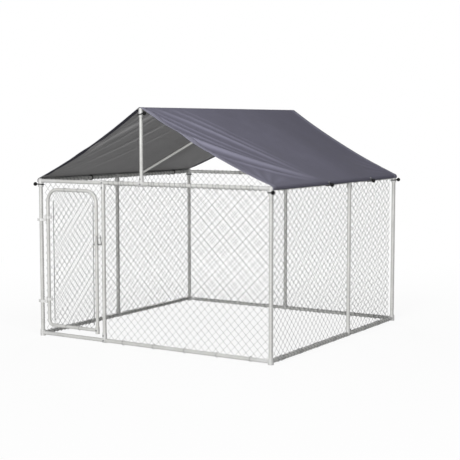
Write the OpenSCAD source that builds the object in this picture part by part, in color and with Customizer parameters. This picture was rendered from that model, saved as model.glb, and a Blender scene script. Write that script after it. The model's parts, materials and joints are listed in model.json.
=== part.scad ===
// Outdoor dog kennel run: a square tube frame with chain link walls, a hinged gate with a fork latch,
// and a ridged roof cover held down by ball bungees. Millimetres, +Z up.
// The origin is on the ground, in the middle of the run. The front wall with the gate faces -Y.

/* [Run] */
// Width over the wall tubes, left to right
run_w = 2000; // [1700:10:3000]
// Depth over the wall tubes, front to back
run_d = 2000; // [1900:10:3000]
// Height from the ground to the top of the top rails
wall_h = 1178; // [1000:1:1800]
// Height from the ground to the top of the roof cover
ridge_h = 1700; // [1450:1:2400]
// Gap between the ground and the bottom rails
rail_lift = 7; // [7:0.5:20]
// Distance of each wall's rail joint from the wall's middle, to the left seen from outside
joint_off = 60; // [40:1:120]

/* [Posts] */
// Place of the door post on the front wall, from the middle
door_post_x = -400; // [-600:1:-250]
// Place of the left wall's middle post, from the middle towards the back
left_post_y = -60; // [-300:1:200]
// Place of the right wall's middle post, from the middle towards the back
right_post_y = 177; // [20:1:220]
// Place of the back wall's middle post, from the middle
back_post_x = 0; // [-200:1:5]

/* [Tubes] */
// Outside diameter of the posts, rails and ridge
tube_d = 28; // [25:0.5:30]
// Wall of every tube
tube_wall = 1.2; // [0.8:0.1:2]
// Outside diameter of the king posts
king_d = 25; // [20:0.5:27]
// Outside diameter of the rafters
rafter_d = 20; // [14:0.5:21]
// Place of the rafter pair, from the middle towards the back
rafter_y = 290; // [240:1:420]
// Radial gap between a tube and its socket
slip = 0.2; // [0.1:0.05:0.3]
// End gap where two tubes butt
butt_gap = 0.2; // [0.1:0.05:0.5]
// Length of the spigots inside the tube joints
spigot_l = 60; // [30:1:80]

/* [Fittings] */
// Wall of a tee collar
collar_wall = 3.5; // [2.5:0.1:5]
// Length of a corner's arms from the post axis
arm_l = 150; // [80:1:200]
// Height of a corner's post socket
socket_h = 45; // [40:1:80]
// Closed end of a corner's post socket
socket_floor = 4; // [2:0.5:6]
// Half length of a post tee along the rail
tee_half = 15; // [12:0.5:18]
// Half length of a king tee along the rail
king_tee_half = 30; // [20:0.5:32]
// Web between a tee's rail bore and the foot of its post
web_t = 1.5; // [1:0.1:3]
// Reach of a tee's stem from the rail axis
tee_stem = 55; // [45:1:90]
// Length of a ridge elbow's socket below the ridge axis
elbow_drop = 50; // [35:1:90]
// Length of a ridge elbow's arm from the king post axis
elbow_arm = 60; // [40:1:120]
// Thinning of a post tee's stem against its collar
stem_trim = 0.5; // [0.4:0.1:1]
// Height of the bore above the rail axis in a top corner
dome_seat = 7; // [4:0.5:10]
// Height of the bore above the ridge axis in a ridge elbow
elbow_seat = 4; // [2:0.5:6]
// Length of the thick neck behind a spigot
neck_l = 8; // [5:0.5:12]
// Half width of a rafter's clip
clip_half = 12; // [11:0.5:15]
// Wall of a rafter's clip
clip_wall = 2.3; // [1.5:0.1:3]
// Half gap between the two rafters' clips on the ridge
clip_gap = 1; // [1:0.5:20]
// Diameter of the tee screws
screw_d = 6; // [4:0.5:8]
// Diameter of a screw or bolt head
head_d = 10; // [8:0.5:12]
// Height of a screw or bolt head
head_h = 4; // [3:0.5:6]

/* [Mesh] */
// Width of a gap in the netting
net_pitch = 130; // [130:1:300]
// Width of a netting wire
net_wire = 3; // [2:0.1:5]
// Half width of a netting panel's edge wire
net_border = 2; // [1.5:0.1:3]
// Gap between two netting panels at a corner
net_corner_gap = 0.5; // [0.3:0.1:5]
// Thickness of a netting panel
net_t = 2.5; // [1.5:0.1:4]
// Distance from the door post's axis to the front netting's edge
net_door_gap = 36; // [36:1:80]
// Diameter of the tie wire
tie_d = 2.5; // [1.5:0.1:3]
// Room kept along a rail between a tie and any fitting
tie_room = 7; // [5:0.5:20]
// Gap between a tie and what it holds
tie_clear = 0.3; // [0.1:0.05:0.5]

/* [Roof] */
// Thickness of the roof cover
cover_t = 1.5; // [1:0.1:3]
// Reach of the roof cover past the front and back rail axes
cover_over = 14; // [0:1:20]
// Deepest sag of the roof cover between its supports
cover_sag = 26; // [0:1:60]
// Height of the folds in the roof cover
fold_h = 9; // [0:0.5:20]
// Folds on the right slope, from the rafter to the front edge
right_folds = 2.5; // [1:0.5:4]
// Folds on the left slope, from the rafter to the front edge
left_folds = 1.5; // [1:0.5:4]
// Slant of the folds towards the front peak
fold_slant = 0.4; // [0:0.1:1]
// Distance from the rafters over which the sag grows
sag_bay = 250; // [200:5:500]
// Gap between cloth and what carries it
cloth_clear = 0.3; // [0.2:0.05:1]
// Gap between the rafters and the roof cover
rafter_clear = 2.5; // [2:0.1:6]
// Angle at which the cover meets its eave band, up from level round the side rail
seam_deg = 50; // [45:1:55]
// Height of the strip of the eave band that hangs straight down outside the side rail
hem_drop = 9; // [6:0.5:10]
// Diameter of a bungee ball
ball_d = 30; // [18:1:31]
// Diameter of the bungee cord
cord_d = 3.5; // [2.5:0.1:4]
// Distance of an eave ball from the rail axis
eave_reach = 46; // [44:0.5:60]
// Distance of a corner or peak ball from the post axis
post_reach = 40; // [38:0.5:55]
// Drop of a corner or peak loop below the rail axis
loop_drop = 24; // [18:0.5:30]
// Angle of an eave ball below level
ball_deg = 14; // [5:1:18]
// Radius of an eyelet's hole
eyelet_r = 5.5; // [5:0.1:8]
// Width of an eyelet's rim
eyelet_rim = 4; // [2:0.5:6]
// Thickness of an eyelet
eyelet_t = 1; // [0.5:0.1:2]
// Eave bungees on the right side, from the middle towards the back
right_bungees = [-196, 504];
// Eave bungees on the left side, from the middle towards the back
left_bungees = [-396, 740];

/* [Gate] */
// Outside diameter of the gate tube
gate_d = 25; // [20:0.5:26]
// Distance from the corner post's axis to the gate's hinge stile
hinge_gap = 66; // [62:0.5:80]
// Distance from the gate's latch stile to the door post's axis
latch_gap = 65; // [62:0.5:80]
// Height of the gate's bottom rail above the wall's bottom rail
gate_low = 67; // [50:1:150]
// Drop of the gate's top rail below the wall's top rail
gate_high = 63; // [35:1:120]
// Bend radius of the gate's top corners
gate_bend = 90; // [40:1:150]
// Bend radius of the gate's lower hinge corner
gate_foot_bend = 40; // [30:1:80]
// Height of the socket at the gate's lower latch corner
gate_socket_h = 52; // [40:1:80]
// Wall of the gate's socket
gate_socket_wall = 2.5; // [2:0.1:4]
// Distance of the latch stile's end from the socket's lower edge
stile_inset = 3; // [0:0.5:6]
// Diameter of a tension bar
bar_d = 6; // [4:0.5:8]
// Distance of a tension bar from its stile
bar_gap = 40; // [38:0.5:60]
// Gap between the tension bars and the gate's bottom rail
bar_low = 32; // [25:1:60]
// Gap between the tension bars and the gate's top rail
bar_high = 81; // [40:1:120]

/* [Hinges] */
// Height of the lower hinge above the ground
hinge_low_z = 260; // [200:1:400]
// Height of the upper hinge above the ground
hinge_high_z = 873; // [600:1:950]
// Distance of the hinge pins from the corner post's axis
pin_off = 41; // [40:0.5:42]
// Diameter of a hinge pin
pin_d = 10; // [8:0.5:10]
// Radial gap of a hinge pin in its eye
pin_gap = 0.1; // [0.05:0.01:0.2]
// Gap between a hinge eye and the shoulder that it sits on
eye_gap = 0.3; // [0.1:0.05:0.6]
// Wall of a hinge eye
eye_wall = 4; // [3:0.5:4]
// Half thickness of the bridge from a hinge eye to its band
eye_bridge = 7; // [4:0.5:8]
// Height of a hinge band
band_h = 20; // [14:0.5:24]
// Wall of a hinge band
band_wall = 2.6; // [2:0.1:4]
// Length of a hinge pin above its shoulder
pin_l = 26; // [22:0.5:40]
// Half thickness of a hinge lug
lug_half = 8; // [6:0.5:8]
// Length of a band's bolt ear
ear_l = 20; // [17:0.5:20]
// Half thickness of a band's bolt ear
ear_half = 4; // [2.5:0.5:5]
// Diameter of the bolts
bolt_d = 6; // [4:0.5:6]
// Reach of a bolt past its nut
bolt_tip = 2; // [1:0.5:2]
// Width of a nut over its corners
nut_d = 11; // [9:0.5:12]
// Height of a nut
nut_h = 5; // [3:0.5:5]

/* [Latch] */
// Height of the latch above the ground
latch_z = 717; // [500:1:850]
// Distance of the latch pivot from the latch stile's axis
latch_pivot = 27; // [26:0.5:30]
// Diameter of the fork's rod
fork_d = 7; // [5:0.5:7]
// Distance of a prong from the middle of the fork
prong_off = 21; // [20:0.5:24]
// Reach of the prongs from the pivot
prong_l = 66; // [60:1:70]
// Bend radius at the root of a prong
prong_bend = 8; // [6:0.5:10]
// Angle of the raised fork above level
fork_raise = 100; // [95:1:105]
// Place of the upright tail along its prong
tail_at = 48; // [30:1:55]
// Length of the upright tail
tail_l = 40; // [20:1:45]
// Diameter of the upright tail
tail_d = 6; // [4:0.5:6.5]
// Height of the latch clamp
clamp_h = 26; // [20:0.5:40]
// Wall of the latch clamp
clamp_wall = 2.8; // [2:0.1:4]
// Length of the latch clamp's bolt ear
clamp_ear = 13; // [12:0.5:16]
// Half thickness of the clamp's pivot lug
clamp_lug = 7; // [5:0.5:9]

/* [Hidden] */
$fn = 48;

eps = 1;
tube_r = tube_d / 2;
king_r = king_d / 2;
rafter_r = rafter_d / 2;
gate_r = gate_d / 2;
cord_r = cord_d / 2;
ball_r = ball_d / 2;
ax = run_w / 2 - tube_r;
ay = run_d / 2 - tube_r;
rail_z = rail_lift + tube_r;
top_z = wall_h - tube_r;
spigot_r = tube_r - tube_wall - slip;
spigot_bore = spigot_r - tube_wall;
collar_r = tube_r + slip + collar_wall;
// A corner's socket is wide enough to hold the crossing of its two arms
corner_r = tube_r * sqrt(2) + slip;
post_bore = tube_r + slip;
tee_web = tube_r + slip + web_t;
king_bore = king_r + slip;
screw_z = (tee_web + tee_stem) / 2;
elbow_r = king_bore + collar_wall;
clip_r = tube_r + slip + clip_wall;
rafter_step = clip_half + clip_gap;
ridge_r = max(elbow_r, clip_r) + cloth_clear;
eave_r = max(corner_r, collar_r) + cloth_clear;
ridge_z = ridge_h - cover_t - ridge_r;
ridge_skew = atan2(joint_off, ay);
ridge_l = 2 * norm([joint_off, ay]);
cover_y = ay + cover_over;
post_places = [door_post_x, right_post_y, -back_post_x, -left_post_y];
rafter_places = [0, rafter_y + rafter_step, 0, -(rafter_y - rafter_step)];
bungee_places = [[], right_bungees, [], -left_bungees];
loop_eave = tube_r + cloth_clear + cord_r;
loop_corner = corner_r + cloth_clear + cord_r;
loop_peak = elbow_r + cloth_clear + cord_r;
eyelet_gap = 0.2;
// A loop's legs are a hair thinner than its ring and start inside it
leg_trim = 0.05;
leg_in = 1;
eyelet_mid = eave_r + (cover_t + eyelet_gap + eyelet_t) / 2;
eyelet_deg = acos(loop_eave / eave_reach) - acos(loop_eave / eyelet_mid) - ball_deg;
peak_deg = -20;
seam_gap_deg = 0.9;

net_off = max(collar_r, tube_r) + cloth_clear;
net_far = net_off + net_t;
net_x = ax - net_far - net_border - net_corner_gap;
net_y = ay - net_far - net_border - net_corner_gap;
net_h = top_z - rail_z;
wall_tie_r = (tube_r + net_far) / 2 + tie_clear + tie_d / 2;
wall_tie_off = (net_far - tube_r) / 2;

gate_hinge_x = -ax + hinge_gap;
gate_latch_x = door_post_x - latch_gap;
gate_low_z = rail_z + gate_low;
gate_top_z = top_z - gate_high;
gate_mid_x = (gate_hinge_x + gate_latch_x) / 2;
gate_bore = gate_r - tube_wall;
gate_spigot_r = gate_bore - slip;
gate_socket_r = gate_r + slip + gate_socket_wall;
gate_net_off = gate_r + cloth_clear;
gate_net_far = gate_net_off + net_t;
gate_tie_r = (gate_r + gate_net_far) / 2 + tie_clear + tie_d / 2;
gate_tie_off = (gate_net_far - gate_r) / 2;
bar_left_x = gate_hinge_x + bar_gap;
bar_right_x = gate_latch_x - bar_gap;
gate_net_w = bar_right_x - bar_left_x - bar_d - 2 * cloth_clear;

pin_x = -ax + pin_off;
band_slip = 0.1;
post_band_r = tube_r + band_slip + band_wall;
gate_band_r = gate_r + band_slip + band_wall;
eye_r = pin_d / 2 + eye_wall;
latch_x = gate_latch_x + latch_pivot;
clamp_r = gate_r + band_slip + clamp_wall;
bolt_gap = 0.1;
hinge_heights = [hinge_low_z, hinge_high_z];

// Half length of a wall's rails, and the distance of the wall from the middle of the run
function wall_half(w) = w % 2 == 0 ? ax : ay;
function wall_off(w) = w % 2 == 0 ? ay : ax;
// Distance from a side rail to the ridge, at a place along that side
function slope_run(x) = ax - joint_off * x / ay;
function slope_rise() = ridge_z - top_z;
function slope_deg(x) = atan2(slope_rise(), slope_run(x))
    + asin((ridge_r - eave_r) / norm([slope_run(x), slope_rise()]));
function clear_of(p, stops, gap) = len([for (s = stops) if (abs(p - s) < gap) s]) == 0;

// Walls are numbered front, right, back, left. On a wall, X runs to the right seen from outside,
// Y runs inwards and Z runs up, from the rail axis.
module on_wall(w) {
    rotate([0, 0, 90 * w])
        translate([0, -wall_off(w), 0])
            children();
}

module on_corner(i) {
    rotate([0, 0, 90 * i])
        translate([-wall_half(i), -wall_off(i), 0])
            children();
}

module along_x() {
    rotate([0, 90, 0])
        children();
}

module tube(low, high, d) {
    difference() {
        translate([0, 0, low])
            cylinder(d = d, h = high - low);
        translate([0, 0, low - eps])
            cylinder(d = d - 2 * tube_wall, h = high - low + 2 * eps);
    }
}

// A tube whose upper end is drawn in to a spigot that fits the next tube
module spigot_tube(low, high) {
    difference() {
        union() {
            tube(low, high, tube_d);
            translate([0, 0, high - neck_l])
                cylinder(r = tube_r - tube_wall / 2, h = neck_l);
            translate([0, 0, high - neck_l])
                cylinder(r = spigot_r, h = neck_l + spigot_l);
        }
        translate([0, 0, high - neck_l - eps])
            cylinder(r = spigot_bore, h = neck_l + spigot_l + 2 * eps);
    }
}

module joined_tube(low, joint, high) {
    spigot_tube(low, joint);
    tube(joint + butt_gap, high, tube_d);
}

// The two level arms of a corner, with the spigots that enter the rails
module corner_arms() {
    for (a = [0, 90])
        rotate([0, 0, a])
            along_x() {
                cylinder(r = tube_r, h = arm_l);
                cylinder(r = spigot_r, h = arm_l + spigot_l);
            }
}

module corner_arm_bores() {
    for (a = [0, 90])
        rotate([0, 0, a])
            along_x()
                translate([0, 0, corner_r])
                    cylinder(r = spigot_bore, h = arm_l + spigot_l);
}

module bottom_corner(i) {
    color("gainsboro")
        on_corner(i)
            difference() {
                union() {
                    cylinder(r = corner_r, h = socket_h);
                    translate([0, 0, rail_z])
                        corner_arms();
                }
                translate([0, 0, socket_floor])
                    cylinder(r = post_bore, h = socket_h);
                translate([0, 0, rail_z])
                    corner_arm_bores();
            }
}

module top_corner(i) {
    color("gainsboro")
        on_corner(i)
            translate([0, 0, top_z])
                difference() {
                    union() {
                        domed_socket(corner_r, socket_h);
                        corner_arms();
                    }
                    translate([0, 0, -socket_h - eps])
                        cylinder(r = post_bore, h = socket_h + dome_seat + eps);
                    corner_arm_bores();
                }
}

// A round socket that hangs below a rail axis and is domed above it
module domed_socket(r, drop) {
    rotate_extrude()
        union() {
            translate([0, -drop])
                square([r, drop]);
            intersection() {
                circle(r = r);
                square([r + eps, r + eps]);
            }
        }
}

module corner_post(i) {
    color("silver")
        on_corner(i)
            tube(socket_floor + butt_gap, top_z + dome_seat - butt_gap, tube_d);
}

module bottom_rail(w) {
    reach = wall_half(w) - arm_l - butt_gap;
    color("silver")
        on_wall(w)
            translate([0, 0, rail_z])
                along_x()
                    joined_tube(-reach, -joint_off, reach);
}

// The end walls' top rails butt inside the king tee, the side walls' are joined by a spigot
module top_rail(w) {
    reach = wall_half(w) - arm_l - butt_gap;
    color("silver")
        on_wall(w)
            translate([0, 0, top_z])
                along_x()
                    if (w % 2 == 0) {
                        tube(-reach, -joint_off, tube_d);
                        tube(-joint_off + butt_gap, reach, tube_d);
                    } else {
                        joined_tube(-reach, -joint_off, reach);
                    }
}

module wall_post(w) {
    foot = tee_web + butt_gap;
    color("silver")
        on_wall(w)
            translate([post_places[w], 0, 0])
                tube(rail_z + foot, top_z - foot, tube_d);
}

module king_post(w) {
    color("silver")
        on_wall(w)
            translate([-joint_off, 0, 0])
                tube(top_z + tee_web + butt_gap, ridge_z + elbow_seat - butt_gap, king_d);
}

// A collar on a rail with a stem that holds the foot of a post
module tee(half, stem_bore, stem_r, on_rail) {
    bore_half = max(half, stem_r) + eps;
    difference() {
        union() {
            translate([-half, 0, 0])
                along_x()
                    cylinder(r = collar_r, h = 2 * half);
            cylinder(r = stem_r, h = tee_stem);
        }
        translate([-bore_half, 0, 0])
            along_x()
                cylinder(r = tube_r + slip, h = 2 * bore_half);
        translate([0, 0, tee_web])
            cylinder(r = stem_bore, h = tee_stem);
        tee_screw_places(on_rail)
            cylinder(d = screw_d + 2 * slip, h = collar_r + eps);
    }
}

module tee_screw_places(on_rail) {
    for (z = on_rail ? [0, screw_z] : [screw_z])
        translate([0, 0, z])
            rotate([90, 0, 0])
                children();
}

// A screw whose tip stands at one radius and whose head seats at another
module tee_screw(tip, seat) {
    translate([0, 0, tip])
        cylinder(d = screw_d, h = seat - tip);
    translate([0, 0, seat])
        cylinder(d = head_d, h = head_h);
}

// The side walls' top tees have no screw on the rail, where the eave band lies
function screw_on_rail(w, up) = up || w % 2 == 0;

module at_post_tee(w, up) {
    on_wall(w)
        translate([post_places[w], 0, up ? rail_z : top_z])
            if (up) children();
            else mirror([0, 0, 1]) children();
}

module each_king_tee() {
    for (w = [0, 2])
        on_wall(w)
            translate([-joint_off, 0, top_z])
                children();
}

module post_tees() {
    color("gainsboro")
        for (w = [0:3])
            for (up = [true, false])
                at_post_tee(w, up)
                    tee(tee_half, post_bore, collar_r - stem_trim, screw_on_rail(w, up));
}

module king_tees() {
    color("gainsboro")
        each_king_tee()
            tee(king_tee_half, king_bore, king_bore + collar_wall, true);
}

module tee_screws() {
    color("dimgray") {
        for (w = [0:3])
            for (up = [true, false])
                at_post_tee(w, up) {
                    if (screw_on_rail(w, up))
                        rotate([90, 0, 0])
                            tee_screw(tube_r + slip, collar_r);
                    translate([0, 0, screw_z])
                        rotate([90, 0, 0])
                            tee_screw(tube_r + slip, collar_r - stem_trim);
                }
        each_king_tee() {
            rotate([90, 0, 0])
                tee_screw(tube_r + slip, collar_r);
            translate([0, 0, screw_z])
                rotate([90, 0, 0])
                    tee_screw(king_r + slip, king_bore + collar_wall);
        }
    }
}

module ridge_elbow(w) {
    color("gainsboro")
        on_wall(w)
            translate([-joint_off, 0, ridge_z])
                difference() {
                    union() {
                        domed_socket(elbow_r, elbow_drop);
                        rotate([0, 0, -ridge_skew])
                            rotate([-90, 0, 0]) {
                                cylinder(r = tube_r, h = elbow_arm);
                                cylinder(r = spigot_r, h = elbow_arm + spigot_l);
                            }
                    }
                    translate([0, 0, -elbow_drop - eps])
                        cylinder(r = king_bore, h = elbow_drop + elbow_seat + eps);
                    rotate([0, 0, -ridge_skew])
                        rotate([-90, 0, 0])
                            translate([0, 0, elbow_r])
                                cylinder(r = spigot_bore, h = elbow_arm + spigot_l);
                }
}

module ridge_tube() {
    color("silver")
        on_wall(0)
            translate([-joint_off, 0, ridge_z])
                rotate([0, 0, -ridge_skew])
                    rotate([-90, 0, 0])
                        joined_tube(elbow_arm + butt_gap, ridge_l / 2, ridge_l - elbow_arm - butt_gap);
}

// A thin tube from a side rail up to the ridge, with a round clip at each end
module rafter(w) {
    x = rafter_places[w];
    deg = slope_deg(x);
    drop = rafter_r + rafter_clear;
    length = sqrt(pow(slope_run(x), 2) + pow(slope_rise(), 2) - pow(ridge_r - eave_r, 2));
    bore_in = 2 * clip_r;
    color("silver")
        on_wall(w)
            translate([x, 0, top_z])
                difference() {
                    union() {
                        rafter_clip(clip_r, clip_half);
                        translate([0, slope_run(x), slope_rise()])
                            rotate([0, 0, -ridge_skew])
                                rafter_clip(clip_r, clip_half);
                        rotate([deg - 90, 0, 0])
                            translate([0, drop - eave_r, 0])
                                cylinder(r = rafter_r, h = length);
                    }
                    rafter_clip(post_bore, clip_half + eps);
                    translate([0, slope_run(x), slope_rise()])
                        rotate([0, 0, -ridge_skew])
                            rafter_clip(post_bore, clip_half + eps);
                    rotate([deg - 90, 0, 0])
                        translate([0, drop - eave_r, bore_in])
                            cylinder(r = rafter_r - tube_wall, h = length - 2 * bore_in);
                }
}

module rafter_clip(r, half) {
    translate([-half, 0, 0])
        along_x()
            cylinder(r = r, h = 2 * half);
}

// Netting: one flat panel whose gaps are whole, half and quarter diamonds
function net_count(size) = max(1, round(size / net_pitch));
function net_gap(cx, cy, a, c) = [
    for (p = [[cx - a, cy], [cx, cy - c], [cx + a, cy], [cx, cy + c]]) p
];
function cut_gap(cx, cy, a, c, w, h) =
    let (b = net_border, lx = a * (1 - b / c), ly = c * (1 - b / a))
    cy <= 0 && cx <= 0 ? [[b, b], [lx, b], [b, ly]] :
    cy <= 0 && cx >= w ? [[w - lx, b], [w - b, b], [w - b, ly]] :
    cy >= h && cx <= 0 ? [[b, h - ly], [lx, h - b], [b, h - b]] :
    cy >= h && cx >= w ? [[w - b, h - ly], [w - b, h - b], [w - lx, h - b]] :
    cy <= 0 ? [[cx - lx, b], [cx + lx, b], [cx, c]] :
    cy >= h ? [[cx - lx, h - b], [cx, h - c], [cx + lx, h - b]] :
    cx <= 0 ? [[b, cy - ly], [a, cy], [b, cy + ly]] :
    [[w - b, cy - ly], [w - b, cy + ly], [w - a, cy]];
function net_gaps(w, h) =
    let (nx = net_count(w), nz = net_count(h), px = w / nx, pz = h / nz,
         a = px / 2 - net_wire / sqrt(2), c = pz / 2 - net_wire / sqrt(2))
    concat(
        [for (i = [0:nx - 1]) for (j = [0:nz - 1]) net_gap((i + 0.5) * px, (j + 0.5) * pz, a, c)],
        [for (i = [0:nx]) for (j = [0:nz])
            i > 0 && i < nx && j > 0 && j < nz ? net_gap(i * px, j * pz, a, c) :
            cut_gap(i == nx ? w : i * px, j == nz ? h : j * pz, a, c, w, h)]
    );

// The panel's lower left corner is at the origin, and it is thick towards +Y
module netting(w, h) {
    b = net_border;
    gaps = net_gaps(w, h);
    rim = [[-b, -b], [w + b, -b], [w + b, h + b], [-b, h + b]];
    starts = [for (i = 0, s = len(rim); i < len(gaps); s = s + len(gaps[i]), i = i + 1) s];
    points = concat(rim, [for (g = gaps) for (p = g) p]);
    paths = concat([[0, 1, 2, 3]],
                   [for (i = [0:len(gaps) - 1]) [for (k = [0:len(gaps[i]) - 1]) starts[i] + k]]);
    translate([0, net_t, 0])
        rotate([90, 0, 0])
            linear_extrude(height = net_t)
                polygon(points = points, paths = paths);
}

// First and last place of a wall's netting along the wall
function net_from(w) = w == 0 ? door_post_x + net_door_gap : w % 2 == 0 ? -net_x : -net_y;
function net_to(w) = w % 2 == 0 ? net_x : net_y;

module wall_netting(w) {
    color("lightgray")
        on_wall(w)
            translate([net_from(w), net_off, rail_z])
                netting(net_to(w) - net_from(w), net_h);
}

module tie(r, off) {
    translate([0, off, 0])
        rotate([0, 90, 0])
            rotate_extrude()
                translate([r, 0])
                    circle(d = tie_d);
}

// Places along a net's edge where a tie passes through a gap
function tie_places(from, to) =
    let (n = net_count(to - from), p = (to - from) / n)
    [for (i = [1:2:n - 1]) from + i * p];

module wall_ties() {
    color("gray")
        for (w = [0:3])
            on_wall(w)
                for (x = tie_places(net_from(w), net_to(w))) {
                    stops = concat([post_places[w]], w % 2 == 0 ? [] : [rafter_places[w]], bungee_places[w]);
                    if (clear_of(x, stops, tee_half + tie_room))
                        translate([x, 0, rail_z])
                            tie(wall_tie_r, wall_tie_off);
                    if (clear_of(x, stops, tee_half + tie_room)
                        && (w % 2 == 1 || clear_of(x, [-joint_off], king_tee_half + tie_room)))
                        translate([x, 0, top_z])
                            tie(wall_tie_r, wall_tie_off);
                }
}

// Roof cover: a closed sheet from eave seam to eave seam over the ridge, in rows from front to back
cover_rows = 20;
eave_steps = 2;
slope_steps = 8;
ridge_steps = 2;
half_steps = eave_steps + slope_steps + ridge_steps;
cover_cols = 2 * half_steps;

function sag_at(y) = cover_sag * (1 - exp(-pow((y - rafter_y) / sag_bay, 2)));
function bow(t) = 4 * t * (1 - t);
// Folds run from the front peak down the slopes and die out towards the rafters
function fold_at(s, t, y) =
    let (front = max(0, (rafter_y - y) / (rafter_y + cover_y)), turns = s > 0 ? right_folds : left_folds)
    fold_h * front * bow(t) * (0.5 + 0.5 * cos(360 * turns * (front - (1 - t) * fold_slant)));

// A point on side s of the cover, k steps from the eave seam to the ridge line, off its inner face
function cover_point(s, k, y, off) =
    let (x = s * y, deg = slope_deg(x), n = [s * sin(deg), cos(deg)],
         eave = [s * ax, top_z], ridge = [s * (ax - slope_run(x)), ridge_z],
         first = seam_deg + seam_gap_deg,
         ka = first + (90 - deg - first) * k / eave_steps,
         t = (k - eave_steps) / slope_steps,
         kr = 90 - deg + deg * (k - eave_steps - slope_steps) / ridge_steps,
         p = k <= eave_steps ? eave + (eave_r + off) * [s * cos(ka), sin(ka)] :
             k < eave_steps + slope_steps ?
                 eave * (1 - t) + ridge * t
                 + n * ((eave_r * (1 - t) + ridge_r * t) + off - sag_at(y) * bow(t) + fold_at(s, t, y)) :
             ridge + (ridge_r + off) * [s * cos(kr), sin(kr)])
    [p[0], y, p[1]];

function cover_grid(off) = [
    for (j = [0:cover_rows])
        for (i = [0:cover_cols])
            let (y = -cover_y + 2 * cover_y * j / cover_rows)
            i <= half_steps ? cover_point(-1, i, y, off) : cover_point(1, cover_cols - i, y, off)
];

module roof_cover() {
    rows = cover_rows;
    cols = cover_cols;
    count = (rows + 1) * (cols + 1);
    points = concat(cover_grid(cover_t), cover_grid(0));
    function top(i, j) = j * (cols + 1) + i;
    function low(i, j) = count + top(i, j);
    sheet = [
        for (j = [0:rows - 1]) for (i = [0:cols - 1]) each [
            [top(i, j), top(i, j + 1), top(i + 1, j + 1)],
            [top(i, j), top(i + 1, j + 1), top(i + 1, j)],
            [low(i, j), low(i + 1, j + 1), low(i, j + 1)],
            [low(i, j), low(i + 1, j), low(i + 1, j + 1)]
        ]
    ];
    eaves = [
        for (j = [0:rows - 1]) each [
            [top(0, j + 1), top(0, j), low(0, j)],
            [top(0, j + 1), low(0, j), low(0, j + 1)],
            [top(cols, j), top(cols, j + 1), low(cols, j + 1)],
            [top(cols, j), low(cols, j + 1), low(cols, j)]
        ]
    ];
    ends = [
        for (i = [0:cols - 1]) each [
            [top(i, 0), top(i + 1, 0), low(i + 1, 0)],
            [top(i, 0), low(i + 1, 0), low(i, 0)],
            [top(i + 1, rows), top(i, rows), low(i, rows)],
            [top(i + 1, rows), low(i, rows), low(i + 1, rows)]
        ]
    ];
    color("slategray")
        polyhedron(points = points, faces = concat(sheet, eaves, ends));
}

// Turns a shape drawn in the XY plane so that X points outwards from a side rail and Y points up
module across_eave(w, x) {
    on_wall(w)
        translate([x, 0, top_z])
            rotate([0, 0, -90])
                rotate([90, 0, 0])
                    children();
}

module eave_band(w) {
    color("slategray")
        difference() {
            across_eave(w, 0) {
                rotate_extrude(angle = seam_deg)
                    translate([eave_r, -cover_y])
                        square([cover_t, 2 * cover_y]);
                translate([eave_r, -hem_drop, -cover_y])
                    cube([cover_t, hem_drop, 2 * cover_y]);
            }
            for (x = bungee_places[w])
                across_eave(w, x)
                    rotate([0, 0, eyelet_deg])
                        along_x()
                            translate([0, 0, tube_r])
                                cylinder(r = eyelet_r, h = eave_r);
        }
}

module eyelets() {
    color("silver")
        for (w = [1, 3])
            for (x = bungee_places[w])
                across_eave(w, x)
                    rotate([0, 0, eyelet_deg])
                        along_x()
                            translate([0, 0, eave_r + cover_t + eyelet_gap])
                                difference() {
                                    cylinder(r = eyelet_r + eyelet_rim, h = eyelet_t);
                                    translate([0, 0, -eps])
                                        cylinder(r = eyelet_r, h = eyelet_t + 2 * eps);
                                }
}

// An elastic loop round a tube, drawn out along +X to a ball
module bungee_loop(r, reach) {
    half = acos(r / reach);
    leg = sqrt(reach * reach - r * r) - ball_r - cloth_clear;
    rotate([0, 0, half])
        rotate_extrude(angle = 360 - 2 * half)
            translate([r, 0])
                circle(d = cord_d);
    for (s = [-1, 1])
        rotate([0, 0, s * half])
            translate([r, 0, 0])
                rotate([s * 90, 0, 0])
                    translate([0, 0, -leg_in])
                        cylinder(d = cord_d - 2 * leg_trim, h = leg + leg_in);
}

module bungee_ball(reach) {
    translate([reach, 0, 0])
        sphere(r = ball_r);
}

module at_corner_bungees() {
    for (i = [0:3])
        on_corner(i)
            translate([0, 0, top_z - loop_drop])
                rotate([0, 0, 225])
                    children();
}

module at_peak_bungees() {
    for (w = [0, 2])
        on_wall(w)
            translate([-joint_off, 0, ridge_z - loop_drop])
                rotate([0, 0, peak_deg])
                    children();
}

module at_eave_bungees() {
    for (w = [1, 3])
        for (x = bungee_places[w])
            across_eave(w, x)
                rotate([0, 0, -ball_deg])
                    children();
}

module bungee_loops() {
    color("black") {
        at_corner_bungees()
            bungee_loop(loop_corner, post_reach);
        at_peak_bungees()
            bungee_loop(loop_peak, post_reach);
        at_eave_bungees()
            bungee_loop(loop_eave, eave_reach);
    }
}

module bungee_balls() {
    color("black") {
        at_corner_bungees()
            bungee_ball(post_reach);
        at_peak_bungees()
            bungee_ball(post_reach);
        at_eave_bungees()
            bungee_ball(eave_reach);
    }
}

// Hinges and gate are drawn on the front wall, whose plane holds the gate's tubes
module bolt_hole() {
    translate([0, -2 * gate_socket_r, 0])
        rotate([-90, 0, 0])
            cylinder(d = bolt_d + 2 * bolt_gap, h = 4 * gate_socket_r);
}

// A bolt through from the front, with its head and nut seated half its grip from the middle
module bolt(half) {
    translate([0, -half - head_h, 0])
        rotate([-90, 0, 0])
            cylinder(d = head_d, h = head_h);
    translate([0, -half, 0])
        rotate([-90, 0, 0])
            cylinder(d = bolt_d, h = 2 * half + nut_h + bolt_tip);
}

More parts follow.
